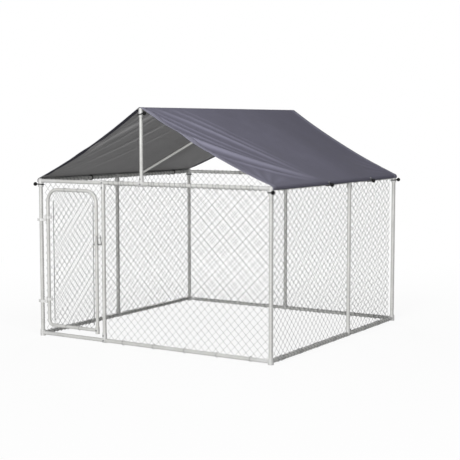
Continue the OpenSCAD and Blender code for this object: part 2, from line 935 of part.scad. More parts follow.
module nut(half) {
    translate([0, half + bolt_gap, 0])
        rotate([-90, 0, 0])
            difference() {
                cylinder(d = nut_d, h = nut_h, $fn = 6);
                translate([0, 0, -eps])
                    cylinder(d = bolt_d + 2 * bolt_gap, h = nut_h + 2 * eps);
            }
}

module hinge_post_band(z) {
    color("gainsboro")
        on_wall(0)
            translate([-ax, 0, z])
                difference() {
                    union() {
                        translate([0, 0, -band_h / 2])
                            cylinder(r = post_band_r, h = band_h);
                        translate([-post_band_r - ear_l, -ear_half, -band_h / 2])
                            cube([post_band_r + ear_l, 2 * ear_half, band_h]);
                        translate([0, -lug_half, -band_h / 2])
                            cube([pin_off, 2 * lug_half, band_h]);
                        translate([pin_off, 0, -band_h / 2])
                            cylinder(r = lug_half, h = band_h);
                        translate([pin_off, 0, 0])
                            cylinder(d = pin_d, h = band_h / 2 + pin_l);
                    }
                    translate([0, 0, -band_h])
                        cylinder(r = tube_r + band_slip, h = 2 * band_h);
                    translate([-post_band_r - ear_l / 2, 0, 0])
                        bolt_hole();
                }
}

module hinge_post_bolts() {
    color("dimgray")
        on_wall(0)
            for (z = hinge_heights)
                translate([-ax - post_band_r - ear_l / 2, 0, z]) {
                    bolt(ear_half);
                    nut(ear_half);
                }
}

module hinge_gate_band(z) {
    low = z + band_h / 2 + eye_gap;
    color("gainsboro")
        on_wall(0)
            translate([gate_hinge_x, 0, low])
                difference() {
                    union() {
                        cylinder(r = gate_band_r, h = band_h);
                        translate([0, -ear_half, 0])
                            cube([gate_band_r + ear_l, 2 * ear_half, band_h]);
                        translate([pin_x - gate_hinge_x, -eye_bridge, 0])
                            cube([gate_hinge_x - pin_x, 2 * eye_bridge, band_h]);
                        translate([pin_x - gate_hinge_x, 0, 0])
                            cylinder(r = eye_r, h = band_h);
                    }
                    translate([0, 0, -eps])
                        cylinder(r = gate_r + band_slip, h = band_h + 2 * eps);
                    translate([pin_x - gate_hinge_x, 0, -eps])
                        cylinder(d = pin_d + 2 * pin_gap, h = band_h + 2 * eps);
                    translate([gate_band_r + ear_l / 2, 0, band_h / 2])
                        bolt_hole();
                }
}

module hinge_gate_bolts() {
    color("dimgray")
        on_wall(0)
            for (z = hinge_heights)
                translate([gate_hinge_x + gate_band_r + ear_l / 2, 0, z + band_h + eye_gap]) {
                    bolt(ear_half);
                    nut(ear_half);
                }
}

module rod_x(from, to, z, r) {
    translate([from, 0, z])
        along_x()
            cylinder(r = r, h = to - from);
}

module rod_z(x, from, to, r) {
    translate([x, 0, from])
        cylinder(r = r, h = to - from);
}

// A bend in the gate's plane from one angle to the next, counted from +X towards +Z
module bend(x, z, radius, from, to, r) {
    translate([x, 0, z])
        rotate([90, 0, 0])
            rotate([0, 0, from])
                rotate_extrude(angle = to - from)
                    translate([radius, 0])
                        circle(r = r);
}

module gate_hinge_path(r, foot) {
    rod_x(gate_hinge_x + gate_foot_bend, foot, gate_low_z, r);
    bend(gate_hinge_x + gate_foot_bend, gate_low_z + gate_foot_bend, gate_foot_bend, 180, 270, r);
    rod_z(gate_hinge_x, gate_low_z + gate_foot_bend, gate_top_z - gate_bend, r);
    bend(gate_hinge_x + gate_bend, gate_top_z - gate_bend, gate_bend, 90, 180, r);
    rod_x(gate_hinge_x + gate_bend, gate_mid_x, gate_top_z, r);
}

module gate_latch_path(r, foot) {
    rod_x(gate_mid_x + butt_gap, gate_latch_x - gate_bend, gate_top_z, r);
    bend(gate_latch_x - gate_bend, gate_top_z - gate_bend, gate_bend, 0, 90, r);
    rod_z(gate_latch_x, foot, gate_top_z - gate_bend, r);
}

// Bottom rail, hinge stile and half of the top rail, with the socket for the latch stile
module gate_frame_hinge_side() {
    color("silver")
        on_wall(0)
            difference() {
                union() {
                    gate_hinge_path(gate_r, gate_latch_x);
                    rod_z(gate_latch_x, gate_low_z - gate_socket_h / 2, gate_low_z + gate_socket_h / 2,
                          gate_socket_r);
                }
                gate_hinge_path(gate_bore, gate_latch_x - gate_socket_r);
                rod_z(gate_latch_x, gate_low_z - gate_socket_h, gate_low_z + gate_socket_h,
                      gate_r + slip);
                rod_x(gate_mid_x - eps, gate_mid_x + eps, gate_top_z, gate_bore);
                translate([gate_latch_x, 0, gate_low_z])
                    bolt_hole();
            }
}

// Latch stile and half of the top rail, with the spigot that enters the other half
module gate_frame_latch_side() {
    foot = gate_low_z - gate_socket_h / 2 + stile_inset;
    color("silver")
        on_wall(0)
            difference() {
                union() {
                    gate_latch_path(gate_r, foot);
                    rod_x(gate_mid_x - spigot_l, gate_mid_x + butt_gap + neck_l, gate_top_z, gate_spigot_r);
                }
                difference() {
                    gate_latch_path(gate_bore, foot - eps);
                    rod_x(gate_mid_x - eps, gate_mid_x + butt_gap + neck_l, gate_top_z, gate_r);
                }
                rod_x(gate_mid_x - spigot_l - eps, gate_mid_x + butt_gap + 2 * neck_l, gate_top_z,
                      gate_spigot_r - tube_wall);
                translate([gate_latch_x, 0, gate_low_z])
                    bolt_hole();
            }
}

module gate_corner_bolt() {
    color("dimgray")
        on_wall(0)
            translate([gate_latch_x, 0, gate_low_z]) {
                bolt(gate_socket_r);
                nut(gate_socket_r);
            }
}

module gate_netting() {
    color("lightgray")
        on_wall(0)
            translate([bar_left_x + bar_d / 2 + cloth_clear + net_border, gate_net_off, gate_low_z])
                netting(gate_net_w - 2 * net_border, gate_top_z - gate_low_z);
}

module gate_tension_bars() {
    color("silver")
        on_wall(0)
            for (x = [bar_left_x, bar_right_x])
                translate([x, gate_net_off + net_t / 2, gate_low_z + bar_low])
                    cylinder(d = bar_d, h = gate_top_z - gate_low_z - bar_low - bar_high);
}

module gate_ties() {
    from = bar_left_x + bar_d / 2 + cloth_clear + net_border;
    n = net_count(gate_net_w - 2 * net_border);
    step = (gate_net_w - 2 * net_border) / n;
    color("gray")
        on_wall(0)
            for (i = [1:n - 1])
                for (z = [gate_low_z, gate_top_z])
                    translate([from + i * step, 0, z])
                        tie(gate_tie_r, gate_tie_off);
}

module latch_clamp() {
    color("gainsboro")
        on_wall(0)
            translate([gate_latch_x, 0, latch_z])
                difference() {
                    union() {
                        translate([0, 0, -clamp_h / 2])
                            cylinder(r = clamp_r, h = clamp_h);
                        translate([0, -clamp_lug, -clamp_lug])
                            cube([latch_pivot, 2 * clamp_lug, 2 * clamp_lug]);
                        translate([latch_pivot, -clamp_lug, 0])
                            rotate([-90, 0, 0])
                                cylinder(r = clamp_lug, h = 2 * clamp_lug);
                        translate([-clamp_r - clamp_ear, -ear_half, -clamp_h / 2])
                            cube([clamp_r + clamp_ear, 2 * ear_half, clamp_h]);
                    }
                    translate([0, 0, -clamp_h])
                        cylinder(r = gate_r + band_slip, h = 2 * clamp_h);
                    translate([latch_pivot, -2 * clamp_lug, 0])
                        rotate([-90, 0, 0])
                            cylinder(d = fork_d + 2 * pin_gap, h = 4 * clamp_lug);
                    translate([-clamp_r - clamp_ear / 2, 0, 0])
                        bolt_hole();
                }
}

module latch_clamp_bolt() {
    color("dimgray")
        on_wall(0)
            translate([gate_latch_x - clamp_r - clamp_ear / 2, 0, latch_z]) {
                bolt(ear_half);
                nut(ear_half);
            }
}

// A bent rod whose cross bar turns in the clamp and whose prongs straddle the door post when lowered
module latch_fork() {
    root = prong_off - prong_bend;
    color("dimgray")
        on_wall(0)
            translate([latch_x, 0, latch_z])
                rotate([0, -fork_raise, 0])
                    union() {
                        translate([0, -root, 0])
                            rotate([-90, 0, 0])
                                cylinder(d = fork_d, h = 2 * root);
                        for (s = [-1, 1]) {
                            translate([prong_bend, s * root, 0])
                                rotate([0, 0, s > 0 ? 90 : 180])
                                    rotate_extrude(angle = 90)
                                        translate([prong_bend, 0])
                                            circle(d = fork_d);
                            translate([prong_bend, s * prong_off, 0])
                                along_x()
                                    cylinder(d = fork_d, h = prong_l - prong_bend);
                        }
                        translate([tail_at, prong_off, 0])
                            cylinder(d = tail_d, h = tail_l);
                    }
}

bottom_corner(0);  // bottom_corner_front_left
bottom_corner(1);  // bottom_corner_front_right
bottom_corner(2);  // bottom_corner_back_right
bottom_corner(3);  // bottom_corner_back_left
top_corner(0);  // top_corner_front_left
top_corner(1);  // top_corner_front_right
top_corner(2);  // top_corner_back_right
top_corner(3);  // top_corner_back_left
corner_post(0);  // corner_post_front_left
corner_post(1);  // corner_post_front_right
corner_post(2);  // corner_post_back_right
corner_post(3);  // corner_post_back_left
bottom_rail(0);  // bottom_rail_front
bottom_rail(1);  // bottom_rail_right
bottom_rail(2);  // bottom_rail_back
bottom_rail(3);  // bottom_rail_left
top_rail(0);  // top_rail_front
top_rail(1);  // top_rail_right
top_rail(2);  // top_rail_back
top_rail(3);  // top_rail_left
wall_post(0);  // door_post
wall_post(1);  // middle_post_right
wall_post(2);  // middle_post_back
wall_post(3);  // middle_post_left
king_post(0);  // king_post_front
king_post(2);  // king_post_back
ridge_elbow(0);  // ridge_elbow_front
ridge_elbow(2);  // ridge_elbow_back
ridge_tube();
rafter(1);  // rafter_right
rafter(3);  // rafter_left
post_tees();
king_tees();
tee_screws();
wall_netting(0);  // front_netting
wall_netting(1);  // right_netting
wall_netting(2);  // back_netting
wall_netting(3);  // left_netting
wall_ties();
roof_cover();
eave_band(1);  // eave_band_right
eave_band(3);  // eave_band_left
eyelets();
bungee_loops();
bungee_balls();
hinge_post_band(hinge_low_z);  // hinge_post_band_lower
hinge_post_band(hinge_high_z);  // hinge_post_band_upper
hinge_post_bolts();
gate_frame_hinge_side();
gate_frame_latch_side();
gate_netting();
gate_tension_bars();
gate_ties();
gate_corner_bolt();
hinge_gate_band(hinge_low_z);  // hinge_gate_band_lower
hinge_gate_band(hinge_high_z);  // hinge_gate_band_upper
hinge_gate_bolts();
latch_clamp();
latch_clamp_bolt();
latch_fork();
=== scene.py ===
import json
import math

import bpy
import numpy as np
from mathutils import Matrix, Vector, noise


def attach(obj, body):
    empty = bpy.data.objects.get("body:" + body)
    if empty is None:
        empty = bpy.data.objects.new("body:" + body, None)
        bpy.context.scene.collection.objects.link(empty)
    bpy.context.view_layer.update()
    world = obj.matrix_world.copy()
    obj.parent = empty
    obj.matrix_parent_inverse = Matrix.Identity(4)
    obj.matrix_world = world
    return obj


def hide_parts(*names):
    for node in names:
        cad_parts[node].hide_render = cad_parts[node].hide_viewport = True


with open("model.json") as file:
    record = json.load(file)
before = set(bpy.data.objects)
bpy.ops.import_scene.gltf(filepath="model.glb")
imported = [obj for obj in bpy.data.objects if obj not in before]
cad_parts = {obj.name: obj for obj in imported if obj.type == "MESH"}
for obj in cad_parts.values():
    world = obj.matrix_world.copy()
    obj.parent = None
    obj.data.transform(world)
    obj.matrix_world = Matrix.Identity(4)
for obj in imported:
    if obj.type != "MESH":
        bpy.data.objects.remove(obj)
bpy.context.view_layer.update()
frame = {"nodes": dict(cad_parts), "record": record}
nodes = frame["nodes"]
scene = bpy.context.scene
print("frame loaded,", len(nodes), "nodes")

# sizes shared with the frame, in metres
run = dict(axisX=0.986, axisY=0.986, railZ=0.021, topZ=1.164, ridgeZ=1.6817, jointOff=0.060,
           rafterY=0.290, clipOff=0.013, hingeZ=(0.260, 0.873), latchZ=0.717)
quarterTurns = dict(front=0, right=1, back=2, left=3)  # how each wall is turned from the front one
# places along a wall, seen from outside
postAt = dict(front=-0.400, right=0.177, back=0.0, left=0.060)
bungeeAt = dict(right=(-0.196, 0.504), left=(0.396, -0.740))
rafterAt = dict(right=run["rafterY"] + run["clipOff"], left=run["clipOff"] - run["rafterY"])


# camera
cameraSet = dict(azimuth=31.84, elevation=5.43, lens=87.6, sensor=36, clipEnd=200,
                 place=(4.596, -7.309, 1.586))


def makeCamera(c):
    data = bpy.data.cameras.new("photoCamera")
    cam = bpy.data.objects.new("photoCamera", data)
    scene.collection.objects.link(cam)
    a, e = math.radians(c["azimuth"]), math.radians(c["elevation"])
    look = Vector((-math.sin(a) * math.cos(e), math.cos(a) * math.cos(e), -math.sin(e)))
    data.sensor_width = c["sensor"]
    data.lens = c["lens"]
    data.clip_end = c["clipEnd"]
    cam.location = c["place"]
    cam.rotation_euler = look.to_track_quat("-Z", "Y").to_euler()
    scene.camera = cam


makeCamera(cameraSet)
print("camera placed")


# studio: white surround, pale floor that fades to white, a lamp over the front,
# a low one far out in front and one behind
studio = dict(floorSize=80.0, floorZ=-0.0005, floorTone=0.55, seenTone=0.12, seenGlow=0.91,
              fadeFrom=1.6, fadeTo=5.0, surround=0.21)
lamps = [dict(name="topLamp", power=62, place=(1.3, -2.4, 4.2), aim=(0.3, 0.0, 1.3), size=1.3),
         dict(name="lowLamp", power=20900, place=(10.2, -59.1, 3.6), aim=(0.0, 0.0, 0.8), size=7.2),
         dict(name="backLamp", power=210, place=(-3.8, 5.6, 2.4), aim=(0.0, 0.0, 0.8), size=2.0)]


def feed(tree, socket, value):  # a number is set, an output is linked
    if isinstance(value, (int, float)):
        socket.default_value = value
    else:
        tree.links.new(value, socket)


def mathOf(tree, operation, *values):
    m = tree.nodes.new("ShaderNodeMath")
    m.operation = operation
    for socket, value in zip(m.inputs, values):
        feed(tree, socket, value)
    return m.outputs["Value"]


def mapped(tree, source, low, high, at=(0.0, 1.0)):
    r = tree.nodes.new("ShaderNodeMapRange")
    r.inputs["From Min"].default_value, r.inputs["From Max"].default_value = at
    r.inputs["To Min"].default_value, r.inputs["To Max"].default_value = low, high
    tree.links.new(source, r.inputs["Value"])
    return r.outputs["Result"]


def backgroundRays(tree):
    path = tree.nodes.new("ShaderNodeLightPath")
    seen = path.outputs["Is Camera Ray"]
    for other in ("Is Glossy Ray", "Is Transmission Ray"):
        seen = mathOf(tree, "MAXIMUM", seen, path.outputs[other])
    return seen


def makeRoom(s):
    world = bpy.data.worlds.new("whiteRoom")
    scene.world = world
    world.use_nodes = True
    tree = world.node_tree
    tree.nodes.clear()
    out = tree.nodes.new("ShaderNodeOutputWorld")
    back = tree.nodes.new("ShaderNodeBackground")
    back.inputs["Color"].default_value = (1, 1, 1, 1)
    tree.links.new(mapped(tree, backgroundRays(tree), s["surround"], 1.0), back.inputs["Strength"])
    tree.links.new(back.outputs["Background"], out.inputs["Surface"])


def floorMaterial(s):
    mat = bpy.data.materials.new("paleFloor")
    mat.use_nodes = True
    tree = mat.node_tree
    p = tree.nodes["Principled BSDF"]
    where = tree.nodes.new("ShaderNodeTexCoord")
    away = tree.nodes.new("ShaderNodeVectorMath")
    away.operation = "LENGTH"
    tree.links.new(where.outputs["Object"], away.inputs[0])
    fade = (s["fadeFrom"], s["fadeTo"])
    seen = backgroundRays(tree)
    tone = tree.nodes.new("ShaderNodeMix")
    feed(tree, tone.inputs["Factor"], seen)
    feed(tree, tone.inputs["A"], s["floorTone"])
    feed(tree, tone.inputs["B"], mapped(tree, away.outputs["Value"], s["seenTone"], 0.0, fade))
    glow = mathOf(tree, "MULTIPLY", seen, mapped(tree, away.outputs["Value"], s["seenGlow"], 1.0, fade))
    tree.links.new(tone.outputs["Result"], p.inputs["Base Color"])
    tree.links.new(glow, p.inputs["Emission Strength"])
    p.inputs["Emission Color"].default_value = (1, 1, 1, 1)
    p.inputs["Roughness"].default_value = 1.0
    p.inputs["Specular IOR Level"].default_value = 0.0
    return mat


def makeFloor(s):
    half = s["floorSize"] / 2
    corners = [(-half, -half), (half, -half), (half, half), (-half, half)]
    mesh = bpy.data.meshes.new("studioFloor")
    mesh.from_pydata([(x, y, s["floorZ"]) for x, y in corners], [], [(0, 1, 2, 3)])
    mesh.materials.append(floorMaterial(s))
    floor = bpy.data.objects.new("studioFloor", mesh)
    scene.collection.objects.link(floor)


def makeLamp(s):
    lamp = bpy.data.lights.new(s["name"], "AREA")
    lamp.energy = s["power"]
    lamp.size = s["size"]
    obj = bpy.data.objects.new(s["name"], lamp)
    scene.collection.objects.link(obj)
    obj.location = s["place"]
    obj.rotation_euler = (Vector(s["aim"]) - obj.location).to_track_quat("-Z", "Y").to_euler()


scene.view_settings.view_transform = "Standard"
makeRoom(studio)
makeFloor(studio)
for lampSet in lamps:
    makeLamp(lampSet)
print("studio lit")


# shared effects
zincSet = dict(flakeScale=120.0, flakeShare=0.4, cloudScale=9.0, cloudDetail=5.0, cloudSpan=(0.3, 0.7),
               cloudShare=0.6, pitScale=900.0, pitShare=0.5, relief=0.25, reliefDepth=0.0002,
               shine=0.2, edgeTint=0.45)
weaveSet = dict(yarns=260.0, wobble=0.6, wobbleDetail=1, weaveShare=0.28,
                mottleScale=4.0, mottleDetail=6.0, mottleRough=0.6, mottleSpan=(0.3, 0.7), mottleShare=0.5,
                grimeScale=38.0, grimeDetail=5.0, grimeRough=0.7, grimeShare=0.25,
                relief=0.3, reliefDepth=0.0004)


def newGroup(name, inputs, outputs):
    group = bpy.data.node_groups.new(name, "ShaderNodeTree")
    for label, value in inputs:
        sock = group.interface.new_socket(label, in_out="INPUT", socket_type="NodeSocketFloat")
        sock.default_value = value
    for label in outputs:
        group.interface.new_socket(label, in_out="OUTPUT", socket_type="NodeSocketFloat")
    return group, group.nodes.new("NodeGroupInput"), group.nodes.new("NodeGroupOutput")


def noiseAt(group, where, scale, detail=4.0, rough=0.55):
    tex = group.nodes.new("ShaderNodeTexNoise")
    for label, value in (("Vector", where), ("Scale", scale), ("Detail", detail), ("Roughness", rough)):
        feed(group, tex.inputs[label], value)
    return tex.outputs["Fac"]


def buildZinc(z):  # crystal flakes, dull clouds and fine pitting of a hot-dipped surface
    inputs = [("Flake Scale", z["flakeScale"]), ("Cloud Scale", z["cloudScale"])]
    g, gin, gout = newGroup("zincSkin", inputs, ["Flakes", "Clouds", "Height"])
    where = g.nodes.new("ShaderNodeTexCoord").outputs["Object"]
    cells = g.nodes.new("ShaderNodeTexVoronoi")
    g.links.new(where, cells.inputs["Vector"])
    g.links.new(gin.outputs["Flake Scale"], cells.inputs["Scale"])
    split = g.nodes.new("ShaderNodeSeparateColor")
    g.links.new(cells.outputs["Color"], split.inputs["Color"])
    clouds = noiseAt(g, where, gin.outputs["Cloud Scale"], z["cloudDetail"])
    pits = noiseAt(g, where, z["pitScale"])
    g.links.new(split.outputs["Red"], gout.inputs["Flakes"])
    g.links.new(clouds, gout.inputs["Clouds"])
    g.links.new(mathOf(g, "MULTIPLY_ADD", pits, z["pitShare"], split.outputs["Green"]), gout.inputs["Height"])
    return g


def buildWeave(w):  # crossed yarns, soft mottle and grime of a coated cloth
    inputs = [("Yarns", w["yarns"]), ("Mottle Scale", w["mottleScale"])]
    g, gin, gout = newGroup("clothWeave", inputs, ["Weave", "Mottle", "Grime"])
    where = g.nodes.new("ShaderNodeTexCoord").outputs["Object"]
    yarns = []
    for axis in ("X", "Y"):
        wave = g.nodes.new("ShaderNodeTexWave")
        wave.bands_direction = axis
        wave.inputs["Distortion"].default_value = w["wobble"]
        wave.inputs["Detail"].default_value = w["wobbleDetail"]
        g.links.new(where, wave.inputs["Vector"])
        g.links.new(gin.outputs["Yarns"], wave.inputs["Scale"])
        yarns.append(wave.outputs["Fac"])
    mottle = noiseAt(g, where, gin.outputs["Mottle Scale"], w["mottleDetail"], w["mottleRough"])
    grime = noiseAt(g, where, w["grimeScale"], w["grimeDetail"], w["grimeRough"])
    g.links.new(mathOf(g, "MAXIMUM", *yarns), gout.inputs["Weave"])
    g.links.new(mottle, gout.inputs["Mottle"])
    g.links.new(grime, gout.inputs["Grime"])
    return g


zincSkin = buildZinc(zincSet)
clothWeave = buildWeave(weaveSet)


def startMaterial(name, group, values):
    mat = bpy.data.materials.new(name)
    mat.use_nodes = True
    tree = mat.node_tree
    g = tree.nodes.new("ShaderNodeGroup")
    g.node_tree = group
    for k, v in values.items():
        g.inputs[k].default_value = v
    return mat, tree, tree.nodes["Principled BSDF"], g


def ramp(tree, source, low, high):
    r = tree.nodes.new("ShaderNodeValToRGB")
    r.color_ramp.elements[0].color = tuple(low) + (1,)
    r.color_ramp.elements[1].color = tuple(high) + (1,)
    tree.links.new(source, r.inputs["Fac"])
    return r.outputs["Color"]


def multiplied(tree, colour, factor):
    m = tree.nodes.new("ShaderNodeMix")
    m.data_type = "RGBA"
    m.blend_type = "MULTIPLY"
    m.inputs["Factor"].default_value = 1.0
    first, second, result = 6, 7, 2  # the node's colour sockets
    tree.links.new(colour, m.inputs[first])
    tree.links.new(factor, m.inputs[second])
    return m.outputs[result]


def bumped(tree, p, height, strength, distance):
    b = tree.nodes.new("ShaderNodeBump")
    b.inputs["Strength"].default_value = strength
    b.inputs["Distance"].default_value = distance
    tree.links.new(height, b.inputs["Height"])
    tree.links.new(b.outputs["Normal"], p.inputs["Normal"])


def zincMaterial(name, low, high, metal, rough, flake):
    z = zincSet
    mat, tree, p, g = startMaterial(name, zincSkin, {"Flake Scale": flake})
    clouds = g.outputs["Clouds"]
    dull = mapped(tree, clouds, 0.0, z["cloudShare"], z["cloudSpan"])
    tone = mathOf(tree, "MULTIPLY_ADD", g.outputs["Flakes"], z["flakeShare"], dull)
    tree.links.new(ramp(tree, tone, low, high), p.inputs["Base Color"])
    tree.links.new(mapped(tree, clouds, rough[1], rough[0], z["cloudSpan"]), p.inputs["Roughness"])
    p.inputs["Metallic"].default_value = metal
    p.inputs["Specular IOR Level"].default_value = z["shine"]
    p.inputs["Specular Tint"].default_value = (z["edgeTint"],) * 3 + (1,)  # dull towards the edges of a tube
    bumped(tree, p, g.outputs["Height"], z["relief"], z["reliefDepth"])
    return mat


def clothMaterial(name, low, high, rough, yarns=weaveSet["yarns"], shine=0.12, foldHighlight=0.0):
    w = weaveSet
    mat, tree, p, g = startMaterial(name, clothWeave, {"Yarns": yarns})
    soft = mapped(tree, g.outputs["Mottle"], 0.0, w["mottleShare"], w["mottleSpan"])
    soiled = mathOf(tree, "MULTIPLY_ADD", g.outputs["Grime"], w["grimeShare"], soft)
    tone = mathOf(tree, "MULTIPLY_ADD", g.outputs["Weave"], w["weaveShare"], soiled)
    colour = ramp(tree, tone, low, high)
    if foldHighlight:  # painted highlight, paler along the folds
        folds = tree.nodes.new("ShaderNodeAttribute")
        folds.attribute_name = "foldHighlight"
        colour = multiplied(tree, colour, mapped(tree, folds.outputs["Fac"], 1.0, 1.0 + foldHighlight))
    tree.links.new(colour, p.inputs["Base Color"])
    tree.links.new(mapped(tree, g.outputs["Mottle"], *rough, w["mottleSpan"]), p.inputs["Roughness"])
    p.inputs["Specular IOR Level"].default_value = shine
    bumped(tree, p, g.outputs["Weave"], w["relief"], w["reliefDepth"])
    return mat


# finishes: darkest and lightest tone, roughness, and how fine the flakes or yarns are
zincFinishes = dict(
    tube=dict(name="tubeZinc", low=(0.56, 0.56, 0.54), high=(0.70, 0.70, 0.68),
              metal=0.10, rough=(0.30, 0.44), flake=140),
    fitting=dict(name="fittingZinc", low=(0.57, 0.57, 0.56), high=(0.72, 0.72, 0.71),
                 metal=0.10, rough=(0.32, 0.50), flake=180),
    strap=dict(name="strapZinc", low=(0.70, 0.70, 0.69), high=(0.82, 0.82, 0.81),
               metal=0.10, rough=(0.32, 0.50), flake=180),
    # mesh and rail lacing wire: zinc darker than the tube, partly painted shade standing in for the dark
    # edges of thin round wire
    wire=dict(name="wireZincShaded", low=(0.19, 0.193, 0.193), high=(0.28, 0.283, 0.283),
              metal=0.25, rough=(0.35, 0.50), flake=400),
    # post lacing: zinc made paler than the tube, a painted highlight of the wire
    laceHighlight=dict(name="laceZincHighlight", low=(0.66, 0.66, 0.65), high=(0.80, 0.80, 0.79),
              metal=0.10, rough=(0.35, 0.50), flake=400),
    dark=dict(name="darkZinc", low=(0.09, 0.09, 0.095), high=(0.17, 0.17, 0.175),
              metal=0.60, rough=(0.35, 0.50), flake=300),
    rod=dict(name="rodZinc", low=(0.17, 0.174, 0.17), high=(0.28, 0.285, 0.28),
             metal=0.50, rough=(0.30, 0.45), flake=300),
    ring=dict(name="eyeletZinc", low=(0.46, 0.46, 0.46), high=(0.62, 0.62, 0.62),
              metal=0.80, rough=(0.22, 0.35), flake=400),
)
clothFinishes = dict(
    cover=dict(name="coverCloth", low=(0.138, 0.135, 0.176), high=(0.204, 0.200, 0.257),
               rough=(0.62, 0.78), shine=0.04, foldHighlight=0.65),
    # underside: grey lining, lightened further by painted light standing in for light through the cloth
    liningGlow=dict(name="coverLiningGlow", low=(0.333, 0.330, 0.333), high=(0.459, 0.455, 0.460),
                rough=(0.65, 0.82), foldHighlight=0.35),
    # hem: the cover cloth made lighter, a painted sheen along the lit edge
    hem=dict(name="hemSheenCloth", low=(0.200, 0.197, 0.250), high=(0.280, 0.276, 0.345),
             rough=(0.62, 0.78), shine=0.04),
    # under the hem: the cover cloth made near black, painted shade
    underHemShade=dict(name="hemBinding", low=(0.030, 0.030, 0.042), high=(0.052, 0.051, 0.068),
                 rough=(0.60, 0.76), yarns=420.0),
    thread=dict(name="hemThread", low=(0.20, 0.20, 0.235), high=(0.26, 0.26, 0.30),
                rough=(0.60, 0.75), yarns=900.0),
    elastic=dict(name="bungeeElastic", low=(0.004, 0.004, 0.004), high=(0.010, 0.010, 0.011),
                 rough=(0.70, 0.85), yarns=900.0, shine=0.05),
    ball=dict(name="ballPlastic", low=(0.004, 0.004, 0.004), high=(0.008, 0.008, 0.008),
              rough=(0.45, 0.58), yarns=500.0),
)
finishes = {key: zincMaterial(**values) for key, values in zincFinishes.items()}
finishes.update({key: clothMaterial(**values) for key, values in clothFinishes.items()})
slotFinish = {"galvanised_tube": "tube", "galvanised_fittings": "fitting", "galvanised_wire": "wire",
              "dark_fasteners": "dark", "cover_fabric": "cover", "bungee_cord": "elastic",
              "ball_plastic": "ball", "eyelet_metal": "ring"}
ownFinish = {"latch_fork": "rod", "gate_tension_bars": "rod"}
for side in ("post", "gate"):
    for what in ("bolts", "band_lower", "band_upper"):
        ownFinish["hinge_%s_%s" % (side, what)] = "strap"
for part in frame["record"]["subparts"]:
    obj = nodes[part["node"]]
    finish = ownFinish.get(part["node"], slotFinish[part["material_slot"]])
    obj.data.materials.clear()
    obj.data.materials.append(finishes[finish])
print("finishes on the frame")


# mesh helpers
def newPiece(name, verts, faces, finishNames, body, faceFinish=None):
    mesh = bpy.data.meshes.new(name)
    mesh.from_pydata([tuple(v) for v in verts], [], [tuple(int(i) for i in f) for f in faces])
    for f in finishNames:
        mesh.materials.append(finishes[f])
    if faceFinish is not None:
        mesh.polygons.foreach_set("material_index", faceFinish)
    mesh.polygons.foreach_set("use_smooth", [True] * len(mesh.polygons))
    mesh.update()
    obj = bpy.data.objects.new(name, mesh)
    scene.collection.objects.link(obj)
    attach(obj, body)
    return obj


def tube(path, radius, sides, ribs=0.0, twist=0.0, strands=3):  # closed tube, ribbed where it is braided
    path = np.asarray(path, float)
    count = len(path)
    along = np.gradient(path, axis=0)
    along /= np.linalg.norm(along, axis=1)[:, None]
    upright = abs(along[0][2]) >= 0.8  # too steep to set its sides out from straight up
    side = [np.array([0.0, 1.0, 0.0]) if upright else np.array([0.0, 0.0, 1.0])]
    for i in range(count):
        v = side[-1] - along[i] * side[-1].dot(along[i])
        side.append(v / np.linalg.norm(v))
    side = np.array(side[1:])
    over = np.cross(along, side)
    turn = np.linspace(0, 2 * math.pi, sides, endpoint=False)
    r = radius * (1 + ribs * np.cos(strands * turn[None, :] + twist * np.arange(count)[:, None]))
    ring = np.cos(turn)[None, :, None] * side[:, None, :] + np.sin(turn)[None, :, None] * over[:, None, :]
    verts = (path[:, None, :] + r[:, :, None] * ring).reshape(-1, 3)
    faces = []
    for i in range(count - 1):
        a, b = i * sides, (i + 1) * sides
        faces += [(a + j, a + (j + 1) % sides, b + (j + 1) % sides, b + j) for j in range(sides)]
    faces.append(tuple(range(sides - 1, -1, -1)))
    faces.append(tuple((count - 1) * sides + j for j in range(sides)))
    return verts, faces


def gather(parts):
    verts, faces, base = [], [], 0
    for v, f in parts:
        verts.append(np.asarray(v))
        faces += [tuple(i + base for i in face) for face in f]
        base += len(v)
    return np.vstack(verts), faces


def onWall(points, wall):  # from a wall's own frame: x along it seen from outside, y inwards, z up
    points = np.asarray(points, float)
    off = run["axisY"] if wall in ("front", "back") else run["axisX"]
    a = math.radians(90 * quarterTurns[wall])
    x, y = points[:, 0], points[:, 1] - off
    return np.stack([x * math.cos(a) - y * math.sin(a), x * math.sin(a) + y * math.cos(a), points[:, 2]], 1)


def bell(x, width):
    return math.exp(-(x / width) ** 2)


def easeIn(x, low, high):
    u = min(1.0, max(0.0, (x - low) / (high - low)))
    return u * u * (3 - 2 * u)


# chain link: upright zigzag wires, each hooked into the next and knuckled at both ends
meshSet = dict(cell=0.060, tall=0.060, wire=0.0022, sides=5, plane=0.0213, low=0.026, high=1.158,
               left=-0.9625, right=0.9625, phase=0, postGap=0.0150,
               hook=0.35, bow=0.0016, straight=0.80, bend=0.10,
               knuckleIn=0.005, knuckleOut=0.002, knuckleEnd=0.004, knuckleTurn=0.9, knuckleFlat=0.6)
rolls = dict(front=dict(meshSet, left=postAt["front"] + meshSet["postGap"]),
             right=dict(meshSet, phase=1),
             back=dict(meshSet, cell=0.0583, tall=0.0566),  # this and the next are slightly finer
             left=dict(meshSet, tall=0.0566, phase=1))
gateRoll = dict(meshSet, cell=0.0460, tall=0.0644, plane=0.0160, low=0.096, high=1.094,
                left=-0.8765, right=-0.5085, phase=1)


